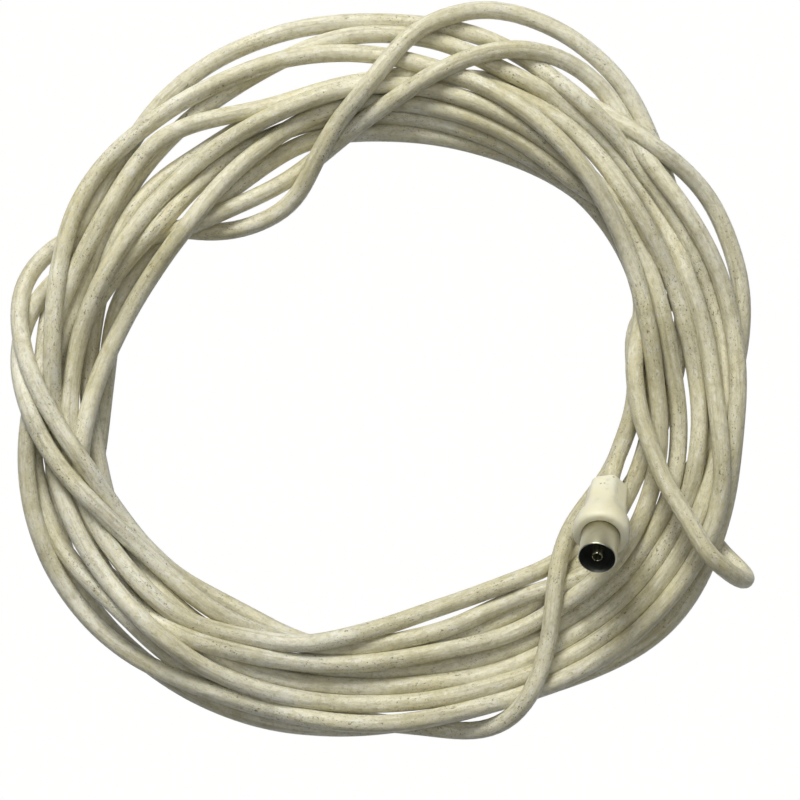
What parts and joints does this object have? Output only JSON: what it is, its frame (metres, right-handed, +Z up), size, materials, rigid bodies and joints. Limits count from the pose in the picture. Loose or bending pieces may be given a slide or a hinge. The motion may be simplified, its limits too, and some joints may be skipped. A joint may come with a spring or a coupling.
{
  "type": "coiled television aerial lead",
  "caption": "Ivory coaxial aerial lead wound into a loose flat coil, with a moulded coaxial socket leaning up out of the turns and a moulded coaxial plug tucked under them.",
  "frame": {"origin": "middle of the whole coil's outline on the floor it lies on", "axes": "+Z up through the flat coil; +Y away from the viewer and +X to the right, as the coil is seen from above with the socket at lower right"},
  "size_m": [0.2112, 0.2076, 0.0431],
  "materials": {
    "jacket": "satin, slightly grimy ivory PVC",
    "grip_pvc": "satin moulded ivory PVC",
    "nickel": "dull nickel plate",
    "polythene": "translucent white polythene",
    "copper": "bare copper",
    "tin": "bright soft solder",
    "filler": "dull moulding compound"
  },
  "bodies": {
    "root": {"coil": "jacket", "plug_braid": "copper", "plug_centre_pin": "nickel", "plug_core": "copper", "plug_crimp_ring": "nickel", "plug_dielectric": "polythene", "plug_grip": "grip_pvc", "plug_inner_mould": "filler", "plug_insulator": "polythene", "plug_lead": "jacket", "plug_outer_contact": "nickel", "plug_solder": "tin", "socket_braid": "copper", "socket_centre_contact": "nickel", "socket_core": "copper", "socket_crimp_ring": "nickel", "socket_dielectric": "polythene", "socket_grip": "grip_pvc", "socket_inner_mould": "filler", "socket_insulator": "polythene", "socket_lead": "jacket", "socket_outer_contact": "nickel", "socket_solder": "tin"}
  },
  "joints": []
}
